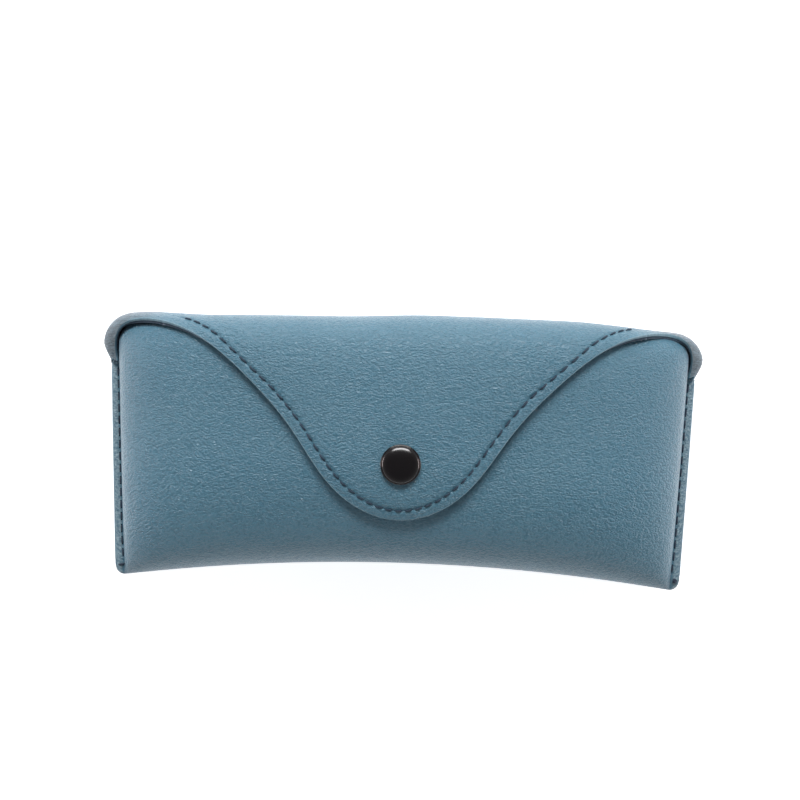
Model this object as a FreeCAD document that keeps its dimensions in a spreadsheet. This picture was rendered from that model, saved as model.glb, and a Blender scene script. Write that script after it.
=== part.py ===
import FreeCAD, Part
import math
import os

import Sketcher

# A soft pouch glasses case lying on its back, in millimetres.
# +X runs along the case, +Y towards the fold of the flap and +Z out of the front.
# The origin is under the middle of the case, on the surface that it lies on.

DIMENSIONS = [
    # the pouch
    ("seam_level", 20.0, "height of the side seams above the rest surface"),
    ("half_height", 38.85, "half the height of the case, along Y"),
    ("bottom_arch", 5.7, "rise of the bottom fold between its corners"),
    ("top_crown", 1.4, "rise of the crest between the ears"),
    ("seam_half_low", 79.1, "half width between the side seams at the bottom"),
    ("seam_half_high", 82.3, "half width between the side seams at their top end"),
    ("seam_top", 22.7, "where the side seams end, along Y"),
    ("strip_low", 3.1, "width of the stitched edge strip at the bottom"),
    ("strip_high", 2.7, "width of the stitched edge strip at its top end"),
    ("strip_corner", 1.5, "radius of the strip's bottom corner"),
    ("strip_gap", 0.03, "half the glue line between the two layers of the strip"),
    ("back_depth", 20.4, "bulge of the back before it is pressed flat"),
    ("panel_depth", 20.2, "bulge of the front panel in front of the seams"),
    ("panel_top", 36.8, "top of the front panel's curve"),
    ("panel_corner", 7.5, "radius of the front panel's top corners"),
    ("mouth_edge", 35.0, "where the front panel's edge ends at the mouth"),
    # the flap
    ("flap_depth", 25.6, "bulge of the flap in front of the seams"),
    ("ear_half", 87.5, "half width of the case over the ears"),
    ("ear_start", 16.0, "where the back starts to flare towards the ears"),
    ("ear_full", 29.5, "where the ears are widest"),
    ("ear_corner", 10.5, "radius of the ears' outer corners"),
    ("hood_depth", 7.0, "bulge of the hood where it starts beside the seams"),
    ("hood_inner", 68.0, "X where the flap starts to drop into the hood"),
    ("hood_outer", 84.0, "X where it is all hood"),
    ("hood_low", 24.0, "Y up to which the hood keeps that bulge"),
    ("hood_high", 37.5, "Y where the hood has the flap's full bulge"),
    ("roof_pivot_out", 36.5, "Y of the bend between back and roof"),
    ("roof_pivot_up", 4.2, "Z of the bend between back and roof"),
    ("roof_cut_lean", 0.6, "lean of the line where the roof leaves the pouch"),
    ("tongue_pivot_out", 30.0, "Y of the bend between roof and tongue"),
    ("split_gap", 0.4, "gap left between two bodies along a bend"),
    # the sheet
    ("leather", 1.0, "thickness of the outer sheet"),
    ("bond", 0.1, "glue line between the outer sheet and the lining"),
    ("lining", 0.7, "thickness of the lining"),
    # thread
    ("thread_radius", 0.28, "radius of the sewing thread"),
    ("stitch_pitch", 3.5, "distance from one stitch to the next"),
    ("stitch_length", 2.1, "length of thread that shows in each stitch"),
    ("edge_margin", 3.2, "distance of the flap's stitches from its edge"),
    ("seam_row", 0.7, "distance of the side seams' stitches from the walls"),
    ("last_stitch", 2.8, "distance of the seams' end stitches from the bottom fold"),
    ("thread_lift", 0.45, "height of the flap's stitches over its face"),
    ("knot_radius", 0.75, "radius of the knot at the end of the right seam"),
    # the press stud
    ("snap_y", -3.9, "Y of the press stud"),
    ("cap_radius", 5.7, "radius of the visible cap"),
    ("cap_rim", 0.7, "height of the cap's rim"),
    ("cap_dome", 1.9, "height of the cap's dome"),
    ("shoulder_radius", 4.9, "radius of the dome's shoulder"),
    ("shoulder_rise", 1.41, "height of the dome's shoulder"),
    ("brow_radius", 3.42, "radius where the dome flattens"),
    ("brow_rise", 1.77, "height where the dome flattens"),
    ("cap_hollow", 0.5, "height of the hollow under the cap"),
    ("cap_wall", 0.6, "wall of the cap"),
    ("tube_radius", 1.6, "radius of the tubes that are riveted through the sheet"),
    ("tube_bore", 1.1, "bore of those tubes"),
    ("hole_radius", 1.7, "radius of the punched holes in the sheet"),
    ("socket_radius", 5.2, "outer radius of the socket"),
    ("socket_rise", 2.3, "height of the socket below the lining"),
    ("socket_web", 0.5, "thickness of the socket's web"),
    ("mouth_radius", 3.3, "radius of the socket's mouth"),
    ("spring_radius", 3.75, "radius of the spring ring in the socket"),
    ("spring_wire", 0.3, "radius of the spring's wire"),
    ("groove_radius", 4.2, "radius of the groove that holds the spring"),
    ("groove_rise", 0.8, "height of that groove"),
    ("lip", 0.35, "thickness of the lip below the groove"),
    ("stud_flange", 4.8, "radius of the stud's flange"),
    ("flange_rise", 0.5, "thickness of the stud's flange"),
    ("stud_bore", 1.66, "radius of the stud's bore, over the post's tube"),
    ("neck_radius", 1.85, "radius of the stud's neck"),
    ("neck_rise", 1.13, "height of the top of the neck"),
    ("head_radius", 1.9, "radius of the stud's head"),
    ("head_low", 1.58, "height where the head is widest"),
    ("head_high", 1.94, "height where the head rounds off"),
    ("crown_radius", 1.33, "radius of the head's flat top"),
    ("head_rise", 2.3, "height of the stud's head"),
    ("bore_side", 1.04, "height of the wall of the stud's bore"),
    ("bore_rise", 1.76, "height of the peak of the stud's bore"),
    ("post_radius", 4.6, "radius of the disc inside the pouch"),
    ("post_rise", 0.6, "thickness of that disc"),
    ("ease", 0.06, "gap that keeps flat metal clear of the bulging sheet"),
]

DEPTH_POWER = 4.5        # how square the bulge is across the case
TOP_POWER = 5.0          # how square it is towards the crest
BOTTOM_POWER = 2.6       # how square it is towards the bottom fold
MARGIN = 60.0            # reach of cutting tools past the case
DEGREE = 3               # degree of the curved surfaces

# Right half of the flap's free edge seen from the front: the tip, the V, the hood over
# the front panel's corner, and the end at the top of the side seam.
EDGE_POINTS = [
    (0.0, -19.9),
    (9.2, -17.9),
    (18.3, -11.8),
    (31.4, 5.6),
    (44.6, 20.0),
    (57.0, 29.9),
    (66.0, 34.1),
    (74.0, 35.4),
    (80.7, 33.5),
    (83.3, 28.6),
    (83.0, 22.7),
]
V_POINTS = 8             # how many of them belong to the V

doc = FreeCAD.newDocument("GlassesPouch")
sheet = doc.addObject("Spreadsheet::Sheet", "Sizes")


def write_row(row, alias, value, meaning):
    """One row of the sheet, whose value other parts can use by its alias."""
    sheet.set("A%d" % row, alias)
    sheet.set("B%d" % row, "%.4f" % value)
    sheet.set("C%d" % row, meaning)
    sheet.setAlias("B%d" % row, alias)


def fill_sheet():
    """Write the driving dimensions, one row each: name, value, meaning."""
    for row, (alias, value, meaning) in enumerate(DIMENSIONS, start=1):
        write_row(row, alias, value, meaning)
    doc.recompute()


def size(alias):
    """A driving dimension, in millimetres."""
    return float(sheet.get(alias))


def vector(x, y, z=0.0):
    return FreeCAD.Vector(x, y, z)


# --- the curved skins ------------------------------------------------------------------

def smooth_step(value, low, high):
    t = min(max((value - low) / (high - low), 0.0), 1.0)
    return t * t * (3.0 - 2.0 * t)


def seam_half(y):
    """Half width between the side seams at a height y."""
    share = (y + size("half_height")) / (size("seam_top") + size("half_height"))
    return size("seam_half_low") + share * (size("seam_half_high") - size("seam_half_low"))


def ear_half(y):
    """The seam's half width, flared out to the ears above the seam's end."""
    flare = size("ear_half") - seam_half(size("ear_full"))
    return seam_half(y) + flare * smooth_step(y, size("ear_start"), size("ear_full"))


class Skin:
    """One side of the pouch as a surface: a bulge over a plan outline.

    u runs from -1 to 1 across the case and s from -1 at the bottom to 1 at the top.
    inset moves the surface inwards, so two insets bound a sheet of that thickness.
    """

    def __init__(self, depth, side, half_width, top, corner):
        self.depth = depth
        self.side = side
        self.half_width = half_width
        self.top = top
        self.corner = corner

    def depth_at(self, x, y):
        """The full bulge, the same all over unless a skin says otherwise."""
        return self.depth

    def profile(self, s):
        """Share of the way to the end, and share of the full depth, at s."""
        power = TOP_POWER if s > 0 else BOTTOM_POWER
        angle = 0.5 * math.pi * abs(s) ** (0.5 * power)
        along = math.sin(angle) ** (2.0 / power)
        depth = max(math.cos(angle), 0.0) ** (2.0 / power)
        return math.copysign(along, s), depth

    def point(self, u, s, inset):
        along, depth = self.profile(s)
        if s > 0:
            reach = self.top - inset - size("top_crown") * u * u
        else:
            rise = size("bottom_arch") * (1.0 - u * u)
            reach = size("half_height") - inset - rise
        y = along * reach
        shrink = 0.0
        corner = self.corner - inset
        into_corner = (y - (reach - corner)) / corner
        if s > 0 and into_corner > 0:
            shrink = corner * (1.0 - math.sqrt(max(1.0 - into_corner ** 2, 0.0)))
        x = u * (self.half_width(y) - inset - shrink)
        across = max(1.0 - abs(u) ** DEPTH_POWER, 0.0) ** (1.0 / DEPTH_POWER)
        z = size("seam_level") + self.side * (self.depth_at(x, y) - inset) * across * depth
        return vector(x, y, z)

    def height(self, y, inset):
        """Height of the skin on the middle line at y."""
        reach = self.top if y > 0 else size("half_height") - size("bottom_arch")
        power = TOP_POWER if y > 0 else BOTTOM_POWER
        share = abs(y) / (reach - inset)
        depth = (1.0 - share ** power) ** (1.0 / power)
        return size("seam_level") + self.side * (self.depth - inset) * depth

    def s_at(self, y):
        """The value of s that reaches y on the middle line."""
        low, high = 0.0, 1.0
        for _ in range(40):
            middle = 0.5 * (low + high)
            if self.point(0.0, middle, 0.0).y < y:
                low = middle
            else:
                high = middle
        return low


def clamped_knots(poles):
    """Even knots and their multiplicities for a clamped cubic with that many poles."""
    spans = poles - DEGREE
    knots = [float(knot) for knot in range(spans + 1)]
    repeats = [DEGREE + 1] + [1] * (spans - 1) + [DEGREE + 1]
    return knots, repeats


class FlapSkin(Skin):
    """The flap's skin, which drops to a low hood beside the front panel's corners."""

    def depth_at(self, x, y):
        beside = smooth_step(abs(x), size("hood_inner"), size("hood_outer"))
        below = 1.0 - smooth_step(y, size("hood_low"), size("hood_high"))
        return self.depth - (self.depth - size("hood_depth")) * beside * below


def surface(skin, inset, s_low, s_high, columns=16, rows=18):
    """The skin at one inset as a cubic B-spline surface steered by a grid of its points."""
    grid = []
    for i in range(-columns, columns + 1):
        u = math.sin(0.5 * math.pi * i / columns)
        line = []
        for j in range(rows + 1):
            s = s_low + (s_high - s_low) * j / rows
            line.append(skin.point(u, s, inset))
        grid.append(line)
    u_knots, u_repeats = clamped_knots(len(grid))
    v_knots, v_repeats = clamped_knots(len(grid[0]))
    result = Part.BSplineSurface()
    result.buildFromPolesMultsKnots(
        grid, u_repeats, v_repeats, u_knots, v_knots, False, False, DEGREE, DEGREE)
    return result


def border(face_surface):
    """The four border edges of a B-spline surface."""
    u_low, u_high, v_low, v_high = face_surface.bounds()
    return [
        face_surface.uIso(u_low).toShape(),
        face_surface.uIso(u_high).toShape(),
        face_surface.vIso(v_low).toShape(),
        face_surface.vIso(v_high).toShape(),
    ]


def sheet_solid(skin, outer_inset, inner_inset, s_low, s_high):
    """A sheet of material between two insets of one skin, as a solid."""
    outer = surface(skin, outer_inset, s_low, s_high)
    inner = surface(skin, inner_inset, s_low, s_high)
    faces = [outer.toShape(), inner.toShape()]
    for outer_edge, inner_edge in zip(border(outer), border(inner)):
        faces.append(Part.makeRuledSurface(outer_edge, inner_edge))
    shell = Part.makeShell(faces)
    shell.sewShape()
    if shell.ShapeType != "Shell":
        shell = shell.Shells[0]
    solid = Part.Solid(shell)
    if solid.Volume < 0:
        solid.reverse()
    return solid


def biggest(shape):
    """The largest solid of a boolean's result."""
    return max(shape.Solids, key=lambda solid: solid.Volume)


def slab(low, high):
    """A box between two corners."""
    return Part.makeBox(high[0] - low[0], high[1] - low[1], high[2] - low[2], vector(*low))


# --- cutting tools ---------------------------------------------------------------------

def free_edge(points):
    """The flap's free edge from one end to the other, as a spline through the points."""
    left = [vector(-x, y) for x, y in reversed(points[1:])]
    right = [vector(x, y) for x, y in points]
    curve = Part.BSplineCurve()
    curve.interpolate(left + right)
    return curve


def above_edge(curve):
    """Prism over all that lies above the free edge in plan, in front of the seams."""
    first = curve.value(curve.FirstParameter)
    last = curve.value(curve.LastParameter)
    wide = size("ear_half") + MARGIN
    far = size("half_height") + MARGIN
    corners = [
        last,
        vector(wide, last.y),
        vector(wide, far),
        vector(-wide, far),
        vector(-wide, first.y),
        first,
    ]
    edges = [curve.toShape()]
    for start, end in zip(corners, corners[1:]):
        edges.append(Part.makeLine(start, end))
    prism = Part.Face(Part.Wire(edges)).extrude(vector(0, 0, 2.0 * MARGIN))
    prism.translate(vector(0, 0, size("seam_level")))
    return prism


def roof_side(gap):
    """Half space on the roof's side of the bend in the back, moved on by a gap."""
    lean = size("roof_cut_lean")
    normal = vector(0, 1, lean).normalize()
    corner = vector(-2 * MARGIN, 0, -2 * MARGIN)
    block = Part.makeBox(4 * MARGIN, 2 * MARGIN, 4 * MARGIN, corner)
    turn = FreeCAD.Rotation(vector(0, 1, 0), normal)
    pivot = vector(0, size("roof_pivot_out"), size("roof_pivot_up"))
    block.Placement = FreeCAD.Placement(pivot + normal * gap, turn)
    return block


def tongue_side(gap):
    """Box over the tongue: below the front bend and inside the ears."""
    wide = size("seam_half_high") - size("panel_corner")
    low = (-wide, -MARGIN, size("seam_level"))
    high = (wide, size("tongue_pivot_out") - gap, 2 * MARGIN)
    return slab(low, high)


def punched_hole():
    """Drill for the hole that the press stud's tubes go through."""
    foot = vector(0, size("snap_y"), size("seam_level"))
    return Part.makeCylinder(size("hole_radius"), 2 * MARGIN, foot)


# --- the sub-parts of sheet ------------------------------------------------------------

def back_skin():
    return Skin(size("back_depth"), -1, ear_half, size("half_height"), size("ear_corner"))


def front_skin():
    return Skin(size("panel_depth"), 1, seam_half, size("panel_top"), size("panel_corner"))


def flap_skin():
    return FlapSkin(size("flap_depth"), 1, ear_half, size("half_height"), size("ear_corner"))


def leather_insets():
    return 0.0, size("leather")


def lining_insets():
    start = size("leather") + size("bond")
    return start, start + size("lining")


def edge_strip(mirror, level):
    """The stitched strip beside one side seam, one sheet thick, from its lowest level."""
    low = -size("half_height")
    high = size("seam_top")
    inside = size("leather")
    plan = [
        (seam_half(low) - inside, low),
        (seam_half(low) + size("strip_low"), low),
        (seam_half(high) + size("strip_high"), high),
        (seam_half(high) - inside, high),
    ]
    points = [vector(mirror * x, y, level) for x, y in plan]
    face = Part.Face(Part.makePolygon(points + points[:1]))
    strip = face.extrude(vector(0, 0, size("leather")))
    corner = vector(mirror * plan[1][0], low, level)
    upright = min(strip.Edges, key=lambda edge: edge.CenterOfMass.distanceToPoint(corner))
    return strip.makeFillet(size("strip_corner"), [upright])


def with_strips(panel, level):
    return biggest(panel.fuse([edge_strip(-1, level), edge_strip(1, level)]))


def front_sheet(insets):
    skin = front_skin()
    panel = sheet_solid(skin, insets[0], insets[1], -1.0, skin.s_at(size("mouth_edge")))
    return biggest(panel.cut(punched_hole()))


def front_panel():
    return with_strips(front_sheet(leather_insets()), size("seam_level") + size("strip_gap"))


def front_lining():
    return front_sheet(lining_insets())


def below_ground():
    return slab((-2 * MARGIN, -2 * MARGIN, -MARGIN), (2 * MARGIN, 2 * MARGIN, 0.0))


def back_sheet(insets):
    """The back from its bottom fold to the bend under the roof."""
    whole = sheet_solid(back_skin(), insets[0], insets[1], -1.0, 1.0)
    return biggest(whole.cut(below_ground()).cut(roof_side(0.0)))


def back_panel():
    level = size("seam_level") - size("strip_gap") - size("leather")
    return with_strips(back_sheet(leather_insets()), level)


def back_lining():
    return back_sheet(lining_insets())


def flap_front(insets):
    """The flap in front of the seams, cut to its free edge."""
    whole = sheet_solid(flap_skin(), insets[0], insets[1], -0.8, 1.0)
    return whole.common(above_edge(free_edge(EDGE_POINTS)))


def roof_sheet(insets):
    front = flap_front(insets).cut(tongue_side(0.0))
    back = sheet_solid(back_skin(), insets[0], insets[1], 0.0, 1.0)
    both = front.fuse(back).common(roof_side(size("split_gap")))
    return biggest(both)


def tongue_sheet(insets):
    tongue = flap_front(insets).common(tongue_side(size("split_gap")))
    return biggest(tongue.cut(punched_hole()))


def roof():
    return roof_sheet(leather_insets())


def roof_lining():
    return roof_sheet(lining_insets())


def tongue():
    return tongue_sheet(leather_insets())


def tongue_lining():
    return tongue_sheet(lining_insets())


# --- thread ----------------------------------------------------------------------------

def stitch(middle, direction):
    """One visible stitch: a short round bar."""
    direction = vector(direction.x, direction.y, direction.z).normalize()
    length = size("stitch_length")
    start = middle - direction * (0.5 * length)
    return Part.makeCylinder(size("thread_radius"), length, start, direction)


def seam_thread(mirror):
    """The stitches of one side seam, on the front and the back of its edge strip.

    Those on the back stop below the ear, whose flare lies over them.
    """
    low = -size("half_height")
    high = size("seam_top")
    start = low + size("stitch_pitch")
    count = int((high - start) / size("stitch_pitch"))
    clear = size("strip_gap") + size("leather") + size("thread_radius")
    direction = vector(mirror * (seam_half(high) - seam_half(low)), high - low)
    flare_start = size("ear_start") - size("stitch_pitch")
    stitches = []
    for index in range(count):
        y = start + (index + 0.5) * size("stitch_pitch")
        x = mirror * (seam_half(y) + size("seam_row"))
        stitches.append(stitch(vector(x, y, size("seam_level") + clear), direction))
        if y < flare_start:
            stitches.append(stitch(vector(x, y, size("seam_level") - clear), direction))
    return Part.makeCompound(stitches)


def seam_tack():
    """The level stitch that ends the left seam."""
    y = -size("half_height") + size("last_stitch")
    x = -seam_half(y) - 0.5 * size("strip_low")
    z = size("seam_level") + size("strip_gap") + size("leather") + size("thread_radius")
    return stitch(vector(x, y, z), vector(1, 0))


def seam_knot():
    """The knot that ends the right seam."""
    y = -size("half_height") + size("last_stitch")
    x = seam_half(y) + 0.5 * size("strip_low")
    z = size("seam_level") + size("strip_gap") + size("leather") + size("knot_radius")
    return Part.makeSphere(size("knot_radius"), vector(x, y, z))


def flap_height(x, y):
    """Height of the flap's outer face over a plan point, found on its skin."""
    skin = flap_skin()
    u = x / skin.half_width(y)
    s = 0.0
    step = 0.5 if y > 0 else -0.5
    for _ in range(30):
        if abs(skin.point(u, s + step, 0.0).y) < abs(y):
            s += step
        step *= 0.5
    for _ in range(12):
        u *= x / skin.point(u, s, 0.0).x if abs(x) > 1e-6 else 1.0
    return skin.point(u, s, 0.0).z


def edge_stitches(keep):
    """Stitches along the inside of the free edge whose plan position is kept."""
    curve = free_edge(EDGE_POINTS[:V_POINTS])
    middle = 0.5 * (curve.FirstParameter + curve.LastParameter)
    half_length = curve.length(middle, curve.LastParameter)
    count = int(half_length / size("stitch_pitch"))
    step = 0.5
    stitches = []
    for index in range(-count, count + 1):
        along = (index + 0.5) * size("stitch_pitch")
        if abs(along) > half_length:
            continue
        place = curve.parameterAtDistance(along, middle)
        tangent = curve.tangent(place)[0]
        inward = vector(-tangent.y, tangent.x)
        spot = curve.value(place) + inward * size("edge_margin")
        if not keep(spot):
            continue
        ahead = spot + tangent * step
        behind = spot - tangent * step
        up_ahead = flap_height(ahead.x, ahead.y)
        up_behind = flap_height(behind.x, behind.y)
        direction = vector(ahead.x - behind.x, ahead.y - behind.y, up_ahead - up_behind)
        lift = size("thread_lift") + 0.5 * (up_ahead + up_behind)
        stitches.append(stitch(vector(spot.x, spot.y, lift), direction))
    return Part.makeCompound(stitches)


def tongue_edge_thread():
    limit = size("tongue_pivot_out") - 0.5 * size("stitch_length") - size("split_gap")
    return edge_stitches(lambda spot: spot.y < limit)


def roof_edge_thread(mirror):
    low = size("tongue_pivot_out") + 0.5 * size("stitch_length")
    high = size("panel_top") - 0.5 * size("stitch_length")
    return edge_stitches(lambda spot: low < spot.y < high and spot.x * mirror > 0)


# --- the press stud --------------------------------------------------------------------

def origin_plane(body, role):
    for feature in body.Origin.OriginFeatures:
        if feature.Role == role:
            return feature
    raise ValueError(role)


def bind_point(sketch, line, axis, name, expression):
    """Hold a line's start at a distance from the sketch's origin, from the sheet."""
    if expression == "0":
        on_axis = -2 if axis == "X" else -1
        sketch.addConstraint(Sketcher.Constraint("PointOnObject", line, 1, on_axis))
        return
    start = sketch.Geometry[line].StartPoint
    value = start.x if axis == "X" else start.y
    index = sketch.addConstraint(Sketcher.Constraint("Distance" + axis, -1, 1, line, 1, value))
    sketch.renameConstraint(index, name)
    sketch.setExpression("Constraints." + name, expression)


def turned_body(label, corners, base_expression):
    """A round piece turned about Z from a closed profile of (radius, height) expressions."""
    body = doc.addObject("PartDesign::Body", label)
    sketch = body.newObject("Sketcher::SketchObject", label + "_profile")
    sketch.AttachmentSupport = [(origin_plane(body, "XZ_Plane"), "")]
    sketch.MapMode = "FlatFace"
    values = []
    for radius, height in corners:
        values.append((float(sheet.evalExpression(radius)), float(sheet.evalExpression(height))))
    for (x_from, y_from), (x_to, y_to) in zip(values, values[1:] + values[:1]):
        sketch.addGeometry(Part.LineSegment(vector(x_from, y_from), vector(x_to, y_to)), False)
    for line in range(len(corners)):
        following = (line + 1) % len(corners)
        sketch.addConstraint(Sketcher.Constraint("Coincident", line, 2, following, 1))
    for line, (radius, height) in enumerate(corners):
        bind_point(sketch, line, "X", "r%d" % line, radius)
        bind_point(sketch, line, "Y", "h%d" % line, height)
    turn = body.newObject("PartDesign::Revolution", label + "_turn")
    turn.Profile = sketch
    turn.ReferenceAxis = (sketch, ["V_Axis"])
    turn.Angle = 360.0
    sketch.Visibility = False
    body.Tip = turn
    body.setExpression("Placement.Base.y", "Sizes.snap_y")
    body.setExpression("Placement.Base.z", base_expression)
    doc.recompute()
    return body


def stud_levels():
    """Levels of the press stud's faces, clear of the bulging sheet on both sides."""
    total = size("leather") + size("bond") + size("lining")
    y = size("snap_y")
    ease = size("ease")
    flap = flap_skin()
    panel = front_skin()
    cap = max(flap.height(y + size("cap_radius"), 0.0), flap.height(y, 0.0)) + ease
    socket = flap.height(y - size("socket_radius"), total) - ease
    stud = max(panel.height(y + size("stud_flange"), 0.0), panel.height(y, 0.0)) + ease
    post = panel.height(y - size("post_radius"), total) - ease
    row = len(DIMENSIONS) + 1
    write_row(row, "cap_level", cap, "underside of the cap")
    write_row(row + 1, "socket_level", socket, "top of the socket")
    write_row(row + 2, "stud_level", stud, "underside of the stud's flange")
    write_row(row + 3, "post_level", post, "top of the disc inside the pouch")
    doc.recompute()


def snap_cap():
    """Domed cap with the tube that holds the socket to the flap."""
    tube_end = "Sizes.socket_level - Sizes.cap_level - 0.5 * Sizes.socket_web"
    corners = [
        ("Sizes.tube_bore", tube_end),
        ("Sizes.tube_radius", tube_end),
        ("Sizes.tube_radius", "Sizes.cap_hollow"),
        ("Sizes.cap_radius - Sizes.cap_wall", "Sizes.cap_hollow"),
        ("Sizes.cap_radius - Sizes.cap_wall", "0"),
        ("Sizes.cap_radius", "0"),
        ("Sizes.cap_radius", "Sizes.cap_rim"),
        ("Sizes.shoulder_radius", "Sizes.shoulder_rise"),
        ("Sizes.brow_radius", "Sizes.brow_rise"),
        ("0", "Sizes.cap_dome"),
        ("0", "Sizes.cap_hollow + Sizes.cap_wall"),
        ("Sizes.tube_bore", "Sizes.cap_hollow + Sizes.cap_wall"),
    ]
    return turned_body("snap_cap", corners, "Sizes.cap_level")


def snap_socket():
    """Ring under the flap: a web on the tube, a groove for the spring and a lip."""
    groove_top = "Sizes.lip + Sizes.groove_rise - Sizes.socket_rise"
    corners = [
        ("Sizes.tube_radius", "0"),
        ("Sizes.socket_radius", "0"),
        ("Sizes.socket_radius", "0 - Sizes.socket_rise"),
        ("Sizes.mouth_radius", "0 - Sizes.socket_rise"),
        ("Sizes.mouth_radius", "Sizes.lip - Sizes.socket_rise"),
        ("Sizes.groove_radius", "Sizes.lip - Sizes.socket_rise"),
        ("Sizes.groove_radius", groove_top),
        ("Sizes.mouth_radius", groove_top),
        ("Sizes.mouth_radius", "0 - Sizes.socket_web"),
        ("Sizes.tube_radius", "0 - Sizes.socket_web"),
    ]
    return turned_body("snap_socket", corners, "Sizes.socket_level")


def snap_stud():
    """Flange, neck and rounded head that stand on the front panel."""
    corners = [
        ("Sizes.stud_bore", "0"),
        ("Sizes.stud_flange", "0"),
        ("Sizes.stud_flange", "Sizes.flange_rise"),
        ("Sizes.neck_radius", "Sizes.flange_rise"),
        ("Sizes.neck_radius", "Sizes.neck_rise"),
        ("Sizes.head_radius", "Sizes.head_low"),
        ("Sizes.head_radius", "Sizes.head_high"),
        ("Sizes.crown_radius", "Sizes.head_rise"),
        ("0", "Sizes.head_rise"),
        ("0", "Sizes.bore_rise"),
        ("Sizes.stud_bore", "Sizes.bore_side"),
    ]
    return turned_body("snap_stud", corners, "Sizes.stud_level")


def snap_post():
    """Disc inside the pouch, with the tube that goes out through the panel to the stud."""
    tube_end = "Sizes.stud_level - Sizes.post_level + 0.5 * Sizes.flange_rise"
    corners = [
        ("Sizes.tube_bore", "0 - Sizes.post_rise"),
        ("Sizes.post_radius", "0 - Sizes.post_rise"),
        ("Sizes.post_radius", "0"),
        ("Sizes.tube_radius", "0"),
        ("Sizes.tube_radius", tube_end),
        ("Sizes.tube_bore", tube_end),
    ]
    return turned_body("snap_post", corners, "Sizes.post_level")


def snap_spring():
    """Open wire ring that lies in the socket's groove."""
    radius = size("spring_radius")
    opening = math.radians(24.0)
    start = vector(radius * math.cos(opening), radius * math.sin(opening))
    end = vector(radius * math.cos(opening), -radius * math.sin(opening))
    path = Part.Wire([Part.Arc(start, vector(-radius, 0), end).toShape()])
    across = Part.Circle(start, vector(-start.y, start.x), size("spring_wire"))
    section = Part.Wire([across.toShape()])
    ring = path.makePipeShell([section], True, True)
    middle = size("socket_level") - size("socket_rise") + size("lip") + 0.5 * size("groove_rise")
    return ring, FreeCAD.Placement(vector(0, size("snap_y"), middle), FreeCAD.Rotation())


# --- the document ----------------------------------------------------------------------

def feature(label, shape, placement=None):
    """A sub-part whose free-form shape is set directly."""
    item = doc.addObject("Part::Feature", label)
    item.Shape = shape
    if placement is not None:
        item.Placement = placement
    return item


def build():
    fill_sheet()
    stud_levels()
    parts = [
        feature("front_panel", front_panel()),
        feature("back_panel", back_panel()),
        feature("flap_roof", roof()),
        feature("flap_tongue", tongue()),
        feature("front_lining", front_lining()),
        feature("back_lining", back_lining()),
        feature("roof_lining", roof_lining()),
        feature("tongue_lining", tongue_lining()),
        feature("side_seam_thread_left", seam_thread(-1)),
        feature("side_seam_thread_right", seam_thread(1)),
        feature("seam_tack_left", seam_tack()),
        feature("seam_knot_right", seam_knot()),
        feature("tongue_edge_thread", tongue_edge_thread()),
        feature("roof_edge_thread_left", roof_edge_thread(-1)),
        feature("roof_edge_thread_right", roof_edge_thread(1)),
        snap_cap(),
        snap_socket(),
        snap_stud(),
        snap_post(),
        feature("snap_spring", *snap_spring()),
    ]
    doc.recompute()
    return parts


def check(parts):
    """Stop if a feature failed or a shape is empty or invalid."""
    for item in doc.Objects:
        if "Invalid" in item.State or "Error" in item.State:
            raise RuntimeError("%s: %s" % (item.Name, item.State))
    for part in parts:
        if part.Shape.isNull() or not part.Shape.isValid():
            raise RuntimeError(part.Label + " has no valid shape")
        box = part.Shape.BoundBox
        print("%-24s solids %3d  volume %9.2f  x %.1f..%.1f y %.1f..%.1f z %.2f..%.2f" % (
            part.Label, len(part.Shape.Solids), part.Shape.Volume,
            box.XMin, box.XMax, box.YMin, box.YMax, box.ZMin, box.ZMax))


def write(parts):
    os.makedirs("parts", exist_ok=True)
    for part in parts:
        part.Shape.exportStep("parts/%s.step" % part.Label)


pieces = build()
check(pieces)
write(pieces)
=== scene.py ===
import math

import bpy
import numpy as np
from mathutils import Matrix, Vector


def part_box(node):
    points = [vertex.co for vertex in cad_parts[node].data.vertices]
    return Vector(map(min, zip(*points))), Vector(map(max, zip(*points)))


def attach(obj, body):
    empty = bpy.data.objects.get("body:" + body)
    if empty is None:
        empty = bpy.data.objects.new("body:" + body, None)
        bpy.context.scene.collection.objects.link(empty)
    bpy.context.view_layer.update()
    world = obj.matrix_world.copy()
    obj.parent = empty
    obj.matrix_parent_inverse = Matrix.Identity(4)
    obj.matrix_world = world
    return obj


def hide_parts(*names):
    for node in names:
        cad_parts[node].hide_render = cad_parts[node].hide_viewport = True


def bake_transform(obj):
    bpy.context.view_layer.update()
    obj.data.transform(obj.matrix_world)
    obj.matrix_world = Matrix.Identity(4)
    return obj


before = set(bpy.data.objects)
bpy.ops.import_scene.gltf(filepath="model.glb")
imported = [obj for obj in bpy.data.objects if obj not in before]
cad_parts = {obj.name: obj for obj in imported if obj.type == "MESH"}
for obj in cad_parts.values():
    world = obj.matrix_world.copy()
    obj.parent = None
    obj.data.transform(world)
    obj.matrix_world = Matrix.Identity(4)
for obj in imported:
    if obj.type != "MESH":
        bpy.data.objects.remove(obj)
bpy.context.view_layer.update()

# The looks of a soft pouch glasses case lying on its back. Shapes are worked out in
# millimetres in the frame of the CAD model and become metres when a mesh is made.

MM = 0.001
WALK_POINTS = 6001       # fineness of the curves that are measured
WELD_STEPS = 2000.0      # parts of a millimetre to which places are told apart

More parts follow.
